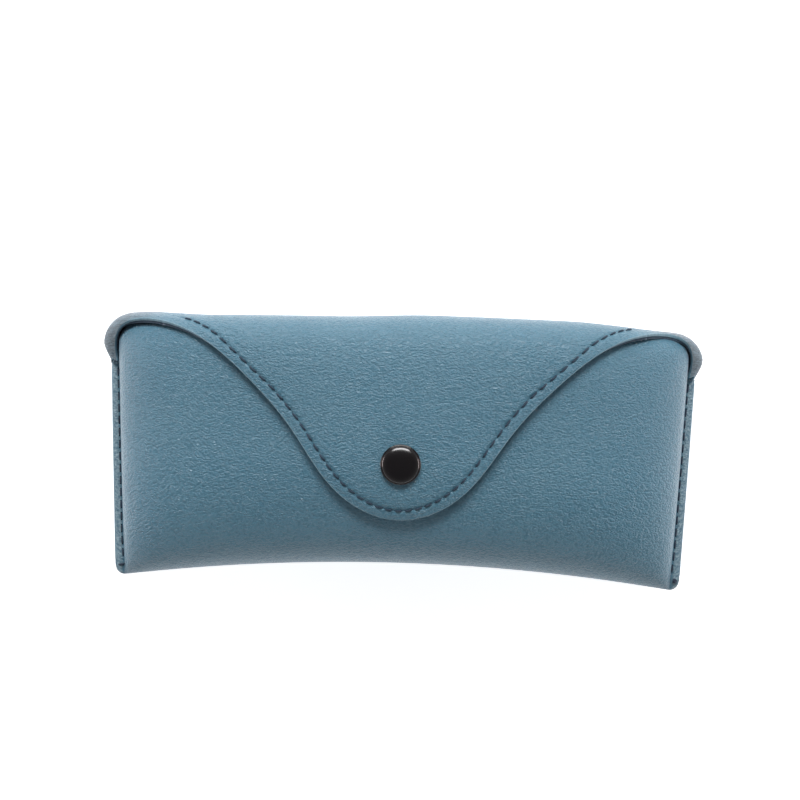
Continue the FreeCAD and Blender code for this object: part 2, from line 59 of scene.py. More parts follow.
# Sizes of the pouch. PANEL_TOP, MOUTH_EDGE, DEPTH_POWER and BOTTOM_POWER round the front a
# little more than the CAD model does; the others are the same as there.
SEAM_Z = 20.0            # level of the side seams
HALF_HEIGHT = 38.85
BOTTOM_ARCH = 5.7
TOP_CROWN = 1.4
SEAM_LOW, SEAM_HIGH = 79.1, 82.3
SEAM_TOP = 22.7          # Y where the side seams end
STRIP_LOW, STRIP_HIGH = 3.1, 2.7
EAR_HALF, EAR_START, EAR_FULL, EAR_CORNER = 87.5, 16.0, 29.5, 10.5
BACK_DEPTH = 20.4
PANEL_DEPTH, PANEL_TOP, PANEL_CORNER, MOUTH_EDGE = 20.2, 37.2, 7.5, 35.2
FLAP_DEPTH, HOOD_DEPTH = 25.6, 7.0
HOOD_INNER, HOOD_OUTER, HOOD_LOW, HOOD_HIGH = 68.0, 84.0, 24.0, 37.5
DEPTH_POWER, TOP_POWER, BOTTOM_POWER = 3.6, 5.0, 2.5
LEATHER, BOND, LINING = 1.0, 0.1, 0.7
EDGE_POINTS = [
    (0.0, -19.9), (9.2, -17.9), (18.3, -11.8), (31.4, 5.6), (44.6, 20.0), (57.0, 29.9),
    (66.0, 34.1), (74.0, 35.4), (80.7, 33.5), (83.3, 28.6), (83.0, 22.7),
]
SNAP_Y = -3.9

# Softer things that only the looks have.
PANEL_FULL = 21.9        # bulge of the filled-out front panel, away from the press stud
DIMPLE = 11.0            # reach of the dimple round the press stud
FOLD_ROUND = 0.3         # radius of the crease at the foot of the side walls
STRIP_CORNER = 3.0       # radius of the strip's bottom corner
SETTLE = 40.0            # reach of the flap's waviness round the press stud
DISH, DISH_REACH = 0.28, 8.0        # hollow that the press stud pulls into the flap
LEFT_SAG, RIGHT_SAG = 0.9, 1.3      # sag of the crest at its two ends
DROOP, DROOP_REACH = 1.05, 8.0      # droop of the flap's cut edge
DROOP_END = 8.0          # the droop fades out over this last way to the crest
EDGE_ROUND = 0.22        # rounding of cut edges
JOINED_ROUND = 0.004     # rounding where a sheet goes on in the next piece
DROOP_FADE, STITCH_FADE = (58.0, 70.0), (66.0, 69.0)   # X over which each fades out
FLOOR_PRESS = 0.12       # softness of the back's flat where it lies on the table
STRIP_STEP, STRIP_TUCK = 0.25, 1.7  # the strip under the ear: wider on the back, tucked in front
GROOVE, GROOVE_WIDTH = 0.22, 0.45   # groove that the seam's stitches pull
SEAM_ROW = 0.8           # distance of the seam's stitches from the foot of the walls
STITCH_PITCH = 3.5
STITCH_ROW = 3.2         # distance of the flap's stitches from its edge
THREAD = 0.27            # radius of the thread
THREAD_SIDES = 8
HOLE_SIDES = 10
HOLE_DEPTH = 0.40        # how far a stitch's ends dive below the surface
CAP_RISE = 2.28          # height of the cap above its rim's foot


# --- numbers ---

def smooth(value, low, high):
    t = np.clip((value - low) / (high - low), 0.0, 1.0)
    return t * t * (3.0 - 2.0 * t)


def unit(vectors):
    return vectors / np.maximum(np.linalg.norm(vectors, axis=-1, keepdims=True), 1e-12)


def walk(power, run, rise):
    """A quarter of a superellipse at an even pace: way gone, share of run, share of rise."""
    turn = 0.25 * math.pi * (1.0 - np.cos(np.linspace(0.0, math.pi, WALK_POINTS)))
    along = np.sin(turn) ** (2.0 / power)
    depth = np.maximum(np.cos(turn), 0.0) ** (2.0 / power)
    depth[-1] = 0.0
    steps = np.hypot(np.diff(along * run), np.diff(depth * rise))
    return np.concatenate([[0.0], np.cumsum(steps)]), along, depth


ACROSS = walk(DEPTH_POWER, 84.0, 21.0)
UPWARD = walk(TOP_POWER, HALF_HEIGHT, 23.0)
DOWNWARD = walk(BOTTOM_POWER, 35.0, 20.5)
SIDE = ACROSS[0][-1]     # way from the middle line to the side outline
CREST = UPWARD[0][-1]    # way from the middle to the crest
FOLD = DOWNWARD[0][-1]   # way from the middle to the bottom fold


def shares(curve, way):
    """Share of run and share of rise at a way along a curve."""
    return np.interp(way, curve[0], curve[1]), np.interp(way, curve[0], curve[2])


def across_at(w):
    run, rise = shares(ACROSS, np.abs(w))
    return np.sign(w) * run, rise


def upright_at(v):
    up, down = shares(UPWARD, np.abs(v)), shares(DOWNWARD, np.abs(v))
    return np.where(v > 0, up[0], -down[0]), np.where(v > 0, up[1], down[1])


def seam_half(y):
    return SEAM_LOW + (SEAM_HIGH - SEAM_LOW) * (y + HALF_HEIGHT) / (SEAM_TOP + HALF_HEIGHT)


def ear_half(y):
    return seam_half(y) + (EAR_HALF - seam_half(EAR_FULL)) * smooth(y, EAR_START, EAR_FULL)


def uneven(x, y):
    """Slight waviness of a soft sheet, in millimetres."""
    return (0.16 * np.sin(0.071 * x + 0.9) * np.cos(0.096 * y + 0.4)
            + 0.10 * np.sin(0.043 * x - 0.118 * y + 2.1)
            + 0.06 * np.sin(0.19 * x + 0.13 * y + 0.7))


def near_snap(x, y, reach):
    """1 at the press stud, fading out round it."""
    return np.exp(-(x * x + (y - SNAP_Y) ** 2) / reach ** 2)


def panel_depth(x, y):
    dimple = (PANEL_FULL - PANEL_DEPTH) * near_snap(x, y, DIMPLE)
    return PANEL_FULL - dimple + uneven(x + 30.0, y)


def back_depth(_x, _y):
    return BACK_DEPTH


def flap_depth(x, y):
    beside = smooth(np.abs(x), HOOD_INNER, HOOD_OUTER) * (1.0 - smooth(y, HOOD_LOW, HOOD_HIGH))
    settle = 0.5 * uneven(x, y) * near_snap(x, y, SETTLE)
    dish = DISH * np.exp(-(np.hypot(x, y - SNAP_Y) / DISH_REACH) ** 4)
    return FLAP_DEPTH - (FLAP_DEPTH - HOOD_DEPTH) * beside + settle - dish


def crest_sag(u):
    """How far the soft crest sags below its even curve."""
    left = smooth(u, -0.95, -0.7) * (1.0 - smooth(u, -0.25, 0.1))
    return LEFT_SAG * left + RIGHT_SAG * smooth(u, 0.6, 0.98)


class Skin:
    """One face of the pouch over the unrolled plane: w across and v up, both in mm."""

    def __init__(self, side, depth, half_width, top, corner, sag):
        self.side, self.depth, self.half_width = side, depth, half_width
        self.top, self.corner, self.sag = top, corner, sag

    def shrink(self, y, reach):
        into = np.clip((y - (reach - self.corner)) / self.corner, 0.0, 1.0)
        return self.corner * (1.0 - np.sqrt(1.0 - into ** 2))

    def reach(self, u, y):
        upper = self.top - TOP_CROWN * u * u - self.sag * crest_sag(u)
        return np.where(y > 0, upper, HALF_HEIGHT - BOTTOM_ARCH * (1.0 - u * u))

    def place(self, w, v):
        u, across = across_at(w)
        along, depth = upright_at(v)
        reach = self.reach(u, v)
        y = along * reach
        x = u * (self.half_width(y) - np.where(v > 0, self.shrink(y, reach), 0.0))
        z = SEAM_Z + self.side * self.depth(x, y) * across * depth
        return np.stack([x, y, z], axis=-1)

    def unroll(self, x, y):
        """The unrolled place of a plan position."""
        u = x / self.half_width(y)
        for _ in range(12):
            reach = self.reach(u, y)
            u = x / (self.half_width(y) - np.where(y > 0, self.shrink(y, reach), 0.0))
        along = np.clip(np.abs(y / self.reach(u, y)), 0.0, 1.0)
        w = np.sign(u) * np.interp(np.clip(np.abs(u), 0.0, 1.0), ACROSS[1], ACROSS[0])
        up = np.interp(along, UPWARD[1], UPWARD[0])
        down = np.interp(along, DOWNWARD[1], DOWNWARD[0])
        return w, np.where(y > 0, up, -down)


FRONT = Skin(1, panel_depth, seam_half, PANEL_TOP, PANEL_CORNER, 0.0)
BACK = Skin(-1, back_depth, ear_half, HALF_HEIGHT, EAR_CORNER, 1.0)
FLAP = Skin(1, flap_depth, ear_half, HALF_HEIGHT, EAR_CORNER, 1.0)


def spline(knots, values, at):
    """Natural cubic spline through the values."""
    count = len(knots)
    gaps = np.diff(knots)
    matrix = np.eye(count)
    right = np.zeros((count, values.shape[1]))
    for i in range(1, count - 1):
        matrix[i, i - 1:i + 2] = gaps[i - 1], 2.0 * (gaps[i - 1] + gaps[i]), gaps[i]
        slopes = (values[i + 1] - values[i]) / gaps[i] - (values[i] - values[i - 1]) / gaps[i - 1]
        right[i] = 6.0 * slopes
    bend = np.linalg.solve(matrix, right)
    i = np.clip(np.searchsorted(knots, at) - 1, 0, count - 2)
    h = gaps[i][:, None]
    a = (knots[i + 1] - at)[:, None]
    b = (at - knots[i])[:, None]
    return ((bend[i] * a ** 3 + bend[i + 1] * b ** 3) / (6.0 * h)
            + (values[i] / h - bend[i] * h / 6.0) * a
            + (values[i + 1] / h - bend[i + 1] * h / 6.0) * b)


def even_along(points, count):
    """Points at even distances along a polyline, with the distance of each."""
    way = np.concatenate([[0.0], np.cumsum(np.linalg.norm(np.diff(points, axis=0), axis=1))])
    at = np.linspace(0.0, way[-1], count)
    return np.stack([np.interp(at, way, points[:, k]) for k in range(points.shape[1])], axis=1), at


# --- meshes ---

def grid_quads(rows, columns, first=0):
    i, j = np.meshgrid(np.arange(rows - 1), np.arange(columns - 1), indexing="ij")
    a = first + i * columns + j
    return np.stack([a, a + 1, a + 1 + columns, a + columns], axis=-1).reshape(-1, 4)


def places(points):
    """The first point at each separate place, and the place of every point."""
    keys = np.round(points * WELD_STEPS).astype(np.int64)
    _, first, place = np.unique(keys, axis=0, return_index=True, return_inverse=True)
    return first, place.reshape(-1)


def vertex_normals(points, quads):
    """Area-weighted normals, with points at the same place taken as one."""
    first, place = places(points)
    a, b, c, d = (points[quads[:, k]] for k in range(4))
    face = np.cross(c - a, d - b)
    total = np.zeros((len(first), 3))
    for k in range(4):
        np.add.at(total, place[quads[:, k]], face)
    return unit(total)[place]


def make_object(name, points, faces, materials, indices, sheet, loop_normals=None, extra=None):
    """An object with a material for each face and the unrolled place of each point."""
    mesh = bpy.data.meshes.new(name)
    mesh.from_pydata((points * MM).tolist(), [], faces)
    for material in materials:
        mesh.materials.append(material)
    mesh.polygons.foreach_set("material_index", np.asarray(indices, dtype=np.int32))
    mesh.polygons.foreach_set("use_smooth", np.ones(len(faces), dtype=bool))
    layer = mesh.attributes.new("sheet", "FLOAT_VECTOR", "POINT")
    layer.data.foreach_set("vector", sheet.astype(np.float32).ravel())
    for key, values in (extra or {}).items():
        layer = mesh.attributes.new(key, "FLOAT", "POINT")
        layer.data.foreach_set("value", values.astype(np.float32))
    mesh.update()
    if loop_normals is not None:
        mesh.normals_split_custom_set(loop_normals.tolist())
    obj = bpy.data.objects.new(name, mesh)
    bpy.context.scene.collection.objects.link(obj)
    return obj


def boundary(quads):
    """Edges with a face on one side only, in the direction of that face."""
    edges = np.concatenate([quads[:, [k, (k + 1) % 4]] for k in range(4)])
    flipped = np.sort(edges, axis=1)
    _, first, count = np.unique(flipped, axis=0, return_index=True, return_counts=True)
    return edges[first[count == 1]]


def make_sheet(name, points, normals, quads, thickness, start, materials, sheet, joined,
               extra=None):
    """A closed sheet with rounded cut edges: face, edge band and underside.

    start is how deep its face lies under the points, and thickness how thick it is.
    Where joined is true the sheet goes on in the next piece, so its edge is left square.
    """
    used, inverse = np.unique(quads, return_inverse=True)
    quads = inverse.reshape(quads.shape)
    points, normals, sheet = points[used], normals[used], sheet[used]
    extra = {key: values[used] for key, values in (extra or {}).items()}
    rounding = np.where(joined[used], JOINED_ROUND, EDGE_ROUND)[:, None]
    thickness = np.broadcast_to(thickness, len(joined))[used][:, None]
    top = points - normals * start
    rim = boundary(quads)
    out = np.zeros_like(top)
    step = unit(top[rim[:, 1]] - top[rim[:, 0]])
    for end in (0, 1):
        np.add.at(out, rim[:, end], unit(np.cross(step, normals[rim[:, end]])))
    out = unit(out)
    ring = np.unique(rim)
    place = np.full(len(used), -1)
    place[ring] = np.arange(len(ring))
    b = np.minimum(rounding, 0.4 * thickness)
    face = top - out * b
    under = top - normals * thickness - out * b
    shoulder = (top - normals * b)[ring]
    heel = (top - normals * (thickness - b))[ring]
    count, around = len(used), len(ring)
    everything = np.concatenate([face, under, shoulder, heel])
    i, j = rim[:, 0], rim[:, 1]
    si, sj = 2 * count + place[i], 2 * count + place[j]
    hi, hj = si + around, sj + around
    bands = [np.stack(band, axis=1) for band in (
        (j, i, si, sj), (sj, si, hi, hj), (hj, hi, i + count, j + count))]
    faces = np.concatenate([quads, quads[:, ::-1] + count] + bands)
    kinds = np.concatenate([
        np.zeros(len(quads)), np.full(len(quads), 2), np.ones(3 * len(rim))]).astype(np.int32)
    vertex = np.concatenate([normals, -normals, out[ring], out[ring]])
    loops = vertex[faces.reshape(-1)]
    place3 = np.concatenate([sheet, sheet, sheet[ring], sheet[ring]])
    more = {key: np.concatenate([v, v, v[ring], v[ring]]) for key, v in extra.items()}
    return make_object(name, everything, faces.tolist(), materials, kinds, place3, loops, more)


# --- materials ---

def srgb(red, green, blue):
    def linear(channel):
        share = channel / 255.0
        return share / 12.92 if share <= 0.04045 else ((share + 0.055) / 1.055) ** 2.4
    return (linear(red), linear(green), linear(blue), 1.0)


class Nodes:
    """Short calls for building one material."""

    def __init__(self, name):
        self.material = bpy.data.materials.new(name)
        self.material.use_nodes = True
        self.tree = self.material.node_tree
        self.shader = next(n for n in self.tree.nodes if n.type == "BSDF_PRINCIPLED")

    def node(self, kind, inputs=None, **settings):
        node = self.tree.nodes.new(kind)
        for key, value in settings.items():
            setattr(node, key, value)
        for key, value in (inputs or {}).items():
            self.put(node.inputs[key], value)
        return node

    def put(self, socket, value):
        if isinstance(value, bpy.types.NodeSocket):
            self.tree.links.new(value, socket)
        else:
            socket.default_value = value

    def set(self, **values):
        for key, value in values.items():
            self.put(self.shader.inputs[key.replace("_", " ")], value)

    def math(self, operation, *values):
        node = self.node("ShaderNodeMath", operation=operation)
        for socket, value in zip(node.inputs, values):
            self.put(socket, value)
        return node.outputs[0]

    def attribute(self, name, output="Vector"):
        return self.node("ShaderNodeAttribute", attribute_name=name).outputs[output]

    def mapping(self, vector, scale):
        return self.node("ShaderNodeMapping", {"Vector": vector, "Scale": scale}).outputs[0]

    def vectors(self, operation, *values, **named):
        inputs = dict(enumerate(values), **named)
        return self.node("ShaderNodeVectorMath", inputs, operation=operation).outputs[0]

    def noise(self, vector, scale, detail=2.0, roughness=0.5, distortion=0.0):
        node = self.node("ShaderNodeTexNoise", {
            "Vector": vector, "Scale": scale, "Detail": detail, "Roughness": roughness,
            "Distortion": distortion})
        return node.outputs["Fac"]

    def cells(self, vector):
        node = self.node("ShaderNodeTexVoronoi", feature="SMOOTH_F1")
        for key, value in {"Vector": vector, "Scale": 1.0, "Smoothness": 0.35}.items():
            self.put(node.inputs[key], value)
        return node.outputs["Distance"]

    def range(self, value, low, high, to_low=0.0, to_high=1.0):
        node = self.node("ShaderNodeMapRange", {
            "Value": value, "From Min": low, "From Max": high, "To Min": to_low, "To Max": to_high})
        return node.outputs[0]

    def mix(self, factor, first, second):
        node = self.node("ShaderNodeMix", data_type="RGBA")
        self.put(node.inputs[0], factor)
        self.put(node.inputs[6], first)
        self.put(node.inputs[7], second)
        return node.outputs[2]

    def bump(self, height, distance, strength):
        inputs = {"Height": height, "Distance": distance, "Strength": strength}
        return self.node("ShaderNodeBump", inputs).outputs[0]


def leather_material():
    """Fine-grained coated leather, wavy pebbles about a millimetre long."""
    n = Nodes("coated_leather")
    place = n.attribute("sheet")
    hood = n.attribute("hood", "Fac")
    strip = n.attribute("strip", "Fac")
    warp = n.node("ShaderNodeTexNoise", {"Vector": place, "Scale": 0.8, "Detail": 2.0})
    centred = n.vectors("SUBTRACT", warp.outputs["Color"], (0.5, 0.5, 0.5))
    wavy = n.vectors("ADD", place, n.vectors("SCALE", centred, Scale=1.3))
    pebble = n.range(n.cells(n.mapping(wavy, (1.15, 2.2, 1.0))), 0.05, 0.75, 1.0, 0.0)
    fine = n.noise(n.mapping(wavy, (1.0, 2.0, 1.0)), 2.2, 2.0, 0.5)
    grain = n.math("ADD", n.math("MULTIPLY", pebble, 0.6), n.math("MULTIPLY", fine, 0.55))
    streak = n.noise(n.mapping(place, (0.4, 1.9, 1.0)), 1.1, 4.0, 0.65, 1.0)
    height = n.mix(hood, grain, streak)
    patches = n.noise(place, 0.035, 3.0, 0.55)
    base = n.mix(n.range(patches, 0.3, 0.7), srgb(70, 114, 134), srgb(75, 118, 137))
    # The grain's hollows are painted darker (painted shade) and its pebble tops lighter (painted
    # highlights).
    valleys_painted_shade = n.mix(n.range(grain, 0.1, 0.45, 0.3, 1.0), srgb(48, 86, 104), base)
    tops_painted_highlight = n.mix(n.range(grain, 0.66, 0.95, 0.0, 0.5), valleys_painted_shade, srgb(116, 154, 169))
    # The seam strip is painted lighter and flecked with near-white: painted light and painted
    # glints on the flat strip that faces the lamps.
    strip_glint_noise = n.noise(place, 1.2, 3.0, 0.7)
    flat = n.mix(n.range(strip_glint_noise, 0.38, 0.66), srgb(88, 122, 138), srgb(172, 194, 204))
    strip_painted_light = n.mix(n.math("MULTIPLY", strip, 0.85), tops_painted_highlight, flat)
    # On the ears' hoods the creased leather is painted grey and darker in streaks: painted sheen
    # and painted shade where the hood turns away from the camera and the light.
    hood_painted_sheen_and_shade = n.mix(n.range(streak, 0.38, 0.62), srgb(34, 52, 63), srgb(96, 120, 132))
    colour = n.mix(n.math("MULTIPLY", hood, 0.88), strip_painted_light, hood_painted_sheen_and_shade)
    rough = n.math(
        "ADD", n.range(patches, 0.3, 0.7, 0.31, 0.36), n.range(grain, 0.2, 0.9, 0.07, -0.10))
    n.set(Base_Color=colour, Roughness=rough, Sheen_Weight=0.25, Sheen_Roughness=0.25,
          Sheen_Tint=(0.9, 0.84, 0.96, 1.0), Specular_IOR_Level=0.55,
          Normal=n.bump(height, 0.00034, 1.0))
    return n.material


def edge_material():
    """Painted cut edge of the leather, coloured lighter than the leather's face as a painted
    highlight along the edge.
    """
    n = Nodes("edge_paint_and_painted_highlight")
    place = n.attribute("sheet")
    fibres = n.noise(place, 1.6, 4.0, 0.6)
    n.set(Base_Color=n.mix(n.range(fibres, 0.3, 0.7), srgb(100, 134, 150), srgb(132, 162, 176)),
          Roughness=n.range(fibres, 0.3, 0.7, 0.34, 0.5), Normal=n.bump(fibres, 0.00012, 0.6))
    return n.material


def flesh_material():
    """Napped underside of the leather, hidden by the lining."""
    n = Nodes("leather_underside")
    place = n.attribute("sheet")
    nap = n.noise(place, 3.0, 4.0, 0.65)
    n.set(Base_Color=n.mix(nap, srgb(58, 76, 88), srgb(88, 108, 120)), Roughness=0.9,
          Normal=n.bump(nap, 0.0002, 0.6))
    return n.material


def lining_material():
    """Short-napped microfibre lining."""
    n = Nodes("microfibre_lining")
    place = n.attribute("sheet")
    nap = n.noise(n.mapping(place, (1.0, 1.4, 1.0)), 4.2, 4.0, 0.7)
    strokes = n.noise(n.mapping(place, (0.05, 0.12, 1.0)), 1.0, 3.0, 0.5, 0.8)
    tone = n.math("ADD", n.math("MULTIPLY", nap, 0.55), n.math("MULTIPLY", strokes, 0.5))
    n.set(Base_Color=n.mix(n.range(tone, 0.3, 0.75), srgb(46, 62, 76), srgb(78, 98, 114)),
          Roughness=n.range(nap, 0.2, 0.8, 0.82, 0.95), Sheen_Weight=0.6, Sheen_Roughness=0.4,
          Sheen_Tint=(0.75, 0.85, 1.0, 1.0), Specular_IOR_Level=0.2,
          Normal=n.bump(nap, 0.00025, 0.7))
    return n.material


def thread_material(name, dark, light):
    """Twisted thread. Its place runs along the thread, then round it."""
    n = Nodes(name)
    place = n.attribute("sheet")
    parts = n.node("ShaderNodeSeparateXYZ", {0: place})
    along, around = (n.math("MULTIPLY", parts.outputs[k], lay) for k, lay in ((0, 9.0), (1, 2.0)))
    ply = n.math("ABSOLUTE", n.math("SINE", n.math("ADD", along, around)))
    fuzz = n.noise(place, 5.0, 3.0, 0.6)
    n.set(Base_Color=n.mix(n.math("MULTIPLY", ply, n.range(fuzz, 0.2, 0.8, 0.6, 1.0)), dark, light),
          Roughness=n.range(fuzz, 0.3, 0.7, 0.5, 0.75), Sheen_Weight=0.05,
          Normal=n.bump(ply, 0.0001, 0.7))
    return n.material


def hole_material():
    """Needle holes and the shade inside them."""
    n = Nodes("needle_hole_painted_shade")
    speck = n.noise(n.attribute("sheet"), 6.0)
    n.set(Base_Color=n.mix(speck, srgb(16, 26, 36), srgb(34, 50, 64)), Roughness=0.85,
          Specular_IOR_Level=0.1)
    return n.material


def enamel_material():
    """Glossy black enamel of the snap's cap, with the faintest orange peel."""
    n = Nodes("black_enamel")
    coordinates = n.node("ShaderNodeTexCoord").outputs["Object"]
    ripple = n.noise(coordinates, 900.0, 2.0, 0.5)
    dust = n.noise(coordinates, 4200.0, 2.0, 0.6)
    n.set(Base_Color=n.mix(ripple, srgb(5, 3, 4), srgb(12, 8, 10)),
          Roughness=n.range(dust, 0.35, 0.75, 0.16, 0.24), Specular_IOR_Level=0.6,
          Normal=n.bump(ripple, 0.00002, 0.25))
    return n.material


def metal_material(name, base, worn, rough):
    """Plated brass of the snap's working parts, brushed by use."""
    n = Nodes(name)
    coordinates = n.node("ShaderNodeTexCoord").outputs["Object"]
    brushed = n.noise(n.mapping(coordinates, (1.0, 1.0, 5.0)), 1500.0, 4.0, 0.65)
    spots = n.noise(coordinates, 260.0, 3.0, 0.6)
    n.set(Base_Color=n.mix(n.range(spots, 0.45, 0.7), base, worn), Metallic=1.0,
          Roughness=n.range(brushed, 0.3, 0.7, rough, rough + 0.18),
          Normal=n.bump(brushed, 0.00003, 0.5))
    return n.material


LEATHER_FACE = leather_material()
LEATHER_EDGE = edge_material()
LEATHER_BACK = flesh_material()
LINING_FACE = lining_material()
SEAM_THREAD = thread_material("navy_thread", srgb(16, 28, 44), srgb(42, 62, 84))
FLAP_THREAD = thread_material("teal_thread", srgb(8, 28, 42), srgb(34, 66, 88))
HOLE = hole_material()
ENAMEL = enamel_material()
GUNMETAL = metal_material("gunmetal_plate", srgb(92, 90, 92), srgb(150, 146, 140), 0.22)
STEEL = metal_material("spring_steel", srgb(176, 178, 182), srgb(120, 120, 124), 0.2)

SHEET_MATERIALS = [LEATHER_FACE, LEATHER_EDGE, LEATHER_BACK]
LINING_MATERIALS = [LINING_FACE] * 3


# --- the flap's grid ---

def free_edge():
    """The flap's cut edge in the unrolled plane, evenly from its left end to its right."""
    left = [(-x, y) for x, y in reversed(EDGE_POINTS[1:])]
    plan = np.array(left + EDGE_POINTS)
    knots = np.concatenate([[0.0], np.cumsum(np.linalg.norm(np.diff(plan, axis=0), axis=1))])
    line = spline(knots, plan, np.linspace(0.0, knots[-1], EDGE_SAMPLES))
    w, v = FLAP.unroll(line[:, 0], line[:, 1])
    return even_along(np.stack([w, v], axis=1), 2 * HALF_COLUMNS + 1)


HALF_COLUMNS = 150       # columns of the flap on each side of its middle
EDGE_SAMPLES = 3001
EDGE, EDGE_WAY = free_edge()
EDGE_WAY = EDGE_WAY - 0.5 * EDGE_WAY[-1]
EDGE_STEP = unit(np.gradient(EDGE, axis=0))
INWARD = np.stack([-EDGE_STEP[:, 1], EDGE_STEP[:, 0]], axis=1)
V_END = EDGE_POINTS[6]   # point on the edge up to which the flap's columns run straight up
SEAM_TOP_WAY = EDGE[-1, 1]


def outline():
    """The point on the outline that each column of the flap runs to."""
    w_end = float(FLAP.unroll(*np.array(V_END)[:, None])[0][0])
    straight = np.abs(EDGE[:, 0]) <= w_end
    last = np.abs(EDGE[straight][:, 0]).max()
    target = np.stack([EDGE[:, 0], np.full(len(EDGE), CREST)], axis=1)
    rest = np.flatnonzero(~straight & (EDGE[:, 0] > 0))
    ends = len(rest) + 1
    across = int(round(ends * (SIDE - last) / (SIDE - last + CREST - SEAM_TOP_WAY)))
    top = np.linspace(last, SIDE, across + 1)[1:]
    down = np.linspace(CREST, SEAM_TOP_WAY, ends - across)[1:]
    steps = [(w, CREST) for w in top] + [(SIDE, v) for v in down]
    target[rest] = steps
    target[2 * HALF_COLUMNS - rest] = [(-w, v) for w, v in steps]
    return target


TARGET = outline()
BAND = np.array([0.0, 0.3, 0.7, 1.2, 1.7, 2.2, 2.6, 2.9, 3.2, 3.5, 3.8, 4.3, 5.0, 6.0])
OUTER_ROWS = 60
FULL_BAND = 26.0         # columns shorter than this get narrower bands along the edge
TURN_END = 0.55          # share of a column by which it has turned towards the outline


def flap_plane():
    """Unrolled place and distance from the cut edge of every point of the flap."""
    line = TARGET - EDGE
    length = np.linalg.norm(line, axis=1)
    squeeze = np.minimum(1.0, length / FULL_BAND)
    band = BAND[:, None] * squeeze[None, :]
    rest = np.linspace(0.0, 1.0, OUTER_ROWS + 1)[1:, None]
    away = np.concatenate([band, band[-1] + rest * (length - band[-1])])
    share = away / length
    turn = smooth(share, 0.0, TURN_END)[..., None]
    straight_in = EDGE[None] + INWARD[None] * away[..., None]
    towards = EDGE[None] + line[None] * share[..., None]
    return straight_in * (1.0 - turn) + towards * turn, away


def stitch_wave(way):
    """1 in the middle of a stitch and 0 at the needle holes between stitches."""
    return 0.5 - 0.5 * np.cos(2.0 * math.pi * way / STITCH_PITCH)


def flap_outer(plane, away, way):
    """The flap's outer face, with its drooping edge and the pull of its stitches."""
    w, v = plane[..., 0], plane[..., 1]
    points = FLAP.place(w, v)
    x = np.abs(points[..., 0])
    droop = DROOP * np.exp(-away / DROOP_REACH) * (1.0 - smooth(x, *DROOP_FADE))
    droop = droop * (1.0 - smooth(v, CREST - DROOP_END, CREST))
    pull = np.exp(-((away - STITCH_ROW) / 0.6) ** 2) * (0.52 - 0.22 * stitch_wave(way))
    swell = 0.10 * np.exp(-((away - STITCH_ROW) / 1.6) ** 2)
    points[..., 2] -= droop + (pull - swell) * (1.0 - smooth(x, *STITCH_FADE))
    return points


PLANE, AWAY = flap_plane()
FLAP_POINTS = flap_outer(PLANE, AWAY, np.broadcast_to(EDGE_WAY, AWAY.shape))
FLAP_ROWS, FLAP_COLUMNS = AWAY.shape

CREST_COLUMNS = np.flatnonzero(TARGET[:, 1] >= CREST - 1e-9)
COLUMN_W = TARGET[CREST_COLUMNS, 0]
ROW_V = TARGET[TARGET[:, 0] >= SIDE - 1e-9][:, 1][::-1]


def rest_on_floor(points):
    """Press the bulging back flat where it lies on the rest surface."""
    z = points[..., 2]
    points[..., 2] = 0.5 * (z + np.sqrt(z * z + FLOOR_PRESS ** 2))
    return points


def back_grid(rows):
    """The back above the side seams, on the columns that the flap has at the crest."""
    v, w = np.meshgrid(rows, COLUMN_W, indexing="ij")
    points = rest_on_floor(BACK.place(w, v))
    return points, np.stack([w, v], axis=-1)


UPPER_POINTS, UPPER_PLANE = back_grid(ROW_V)


# --- the pouch's grid ---

def pouch_columns():
    """Unrolled w of the body's columns, finer at the foot of the walls, then the strip's."""
    foot = SIDE - np.array([0.35, 0.7, 1.05, 1.5, 2.0, 2.6, 3.3])
    body = np.unique(np.round(np.concatenate([COLUMN_W, foot, -foot]), 6))
    strip = np.array([0.1, 0.2, 0.3, 0.42, 0.56, 0.7, 0.86, 1.0])
    w = np.concatenate([np.full(len(strip), -SIDE), body, np.full(len(strip), SIDE)])
    out = np.concatenate([strip[::-1], np.zeros(len(body)), strip])
    return w, out


